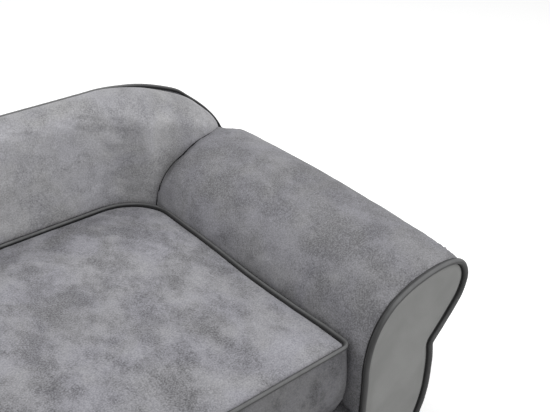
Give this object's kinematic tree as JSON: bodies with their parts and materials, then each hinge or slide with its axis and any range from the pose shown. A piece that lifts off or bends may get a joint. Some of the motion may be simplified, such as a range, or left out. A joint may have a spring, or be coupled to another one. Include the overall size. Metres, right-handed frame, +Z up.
{
  "type": "dog sofa bed",
  "caption": "Small sofa shaped bed for a dog: rolled arms, padded back, piped plush covers and a lift-out box cushion on a wooden base.",
  "frame": {"origin": "on the floor under the middle of the sofa's box", "axes": "+Z up, +X to the sofa's right seen from the front, front towards -Y"},
  "size_m": [0.72, 0.4112, 0.3103],
  "materials": {
    "plush": "crushed plush, mottled",
    "plush_dark": "crushed plush, lying in shade",
    "panel_cloth": "smooth short pile cloth",
    "piping_cloth": "cloth covered cord",
    "lining": "non-woven",
    "zip_nylon": "woven tape and nylon coil",
    "foam": "open cell foam",
    "softwood": "planed softwood and plywood",
    "board": "plywood",
    "hardboard": "hardboard",
    "foot_plastic": "moulded, satin",
    "glide": "moulded nylon",
    "steel": "zinc plated"
  },
  "bodies": {
    "sofa": {"front_rail": "softwood", "back_rail": "softwood", "side_rail_left": "softwood", "side_rail_right": "softwood", "centre_rail": "softwood", "corner_blocks": "softwood", "deck_board": "board", "deck_pad": "foam", "deck_cover": "plush_dark", "arm_front_post_left": "softwood", "arm_front_post_right": "softwood", "arm_rear_post_left": "softwood", "arm_rear_post_right": "softwood", "arm_roll_board_left": "hardboard", "arm_roll_board_right": "hardboard", "arm_outer_board_left": "board", "arm_outer_board_right": "board", "arm_outer_padding_left": "foam", "arm_outer_padding_right": "foam", "arm_outer_panel_left": "plush_dark", "arm_outer_panel_right": "plush_dark", "arm_foam_left": "foam", "arm_foam_right": "foam", "arm_cover_left": "plush", "arm_cover_right": "plush", "arm_front_panel_left": "panel_cloth", "arm_front_panel_right": "panel_cloth", "arm_front_piping_left": "piping_cloth", "arm_front_piping_right": "piping_cloth", "back_board": "board", "back_foam": "foam", "inside_back_cover": "plush", "outside_back_panel": "plush_dark", "back_piping": "piping_cloth", "frame_screws": "steel", "foot_front_left": "foot_plastic", "foot_front_right": "foot_plastic", "foot_rear_left": "foot_plastic", "foot_rear_right": "foot_plastic", "foot_glides": "glide", "foot_bolts": "steel", "tee_nuts": "steel", "dust_cover": "lining", "dust_cover_staples": "steel"},
    "cushion": {"cushion_foam": "foam", "cushion_bottom_cover": "lining", "cushion_boxing": "plush_dark", "cushion_top_cover": "plush", "cushion_top_piping": "piping_cloth", "zip_tape": "zip_nylon", "zip_coil": "zip_nylon", "zip_end_stops": "steel"},
    "zip_slider": {"zip_slider": "steel"}
  },
  "joints": [
    {"name": "cushion_lift", "type": "slide", "parent": "sofa", "child": "cushion", "axis": [0, 0, 1], "range_m": [0, 0.22]},
    {"name": "zip_slide", "type": "slide", "parent": "cushion", "child": "zip_slider", "axis": [1, 0, 0], "range_m": [-0.284, 0]}
  ]
}
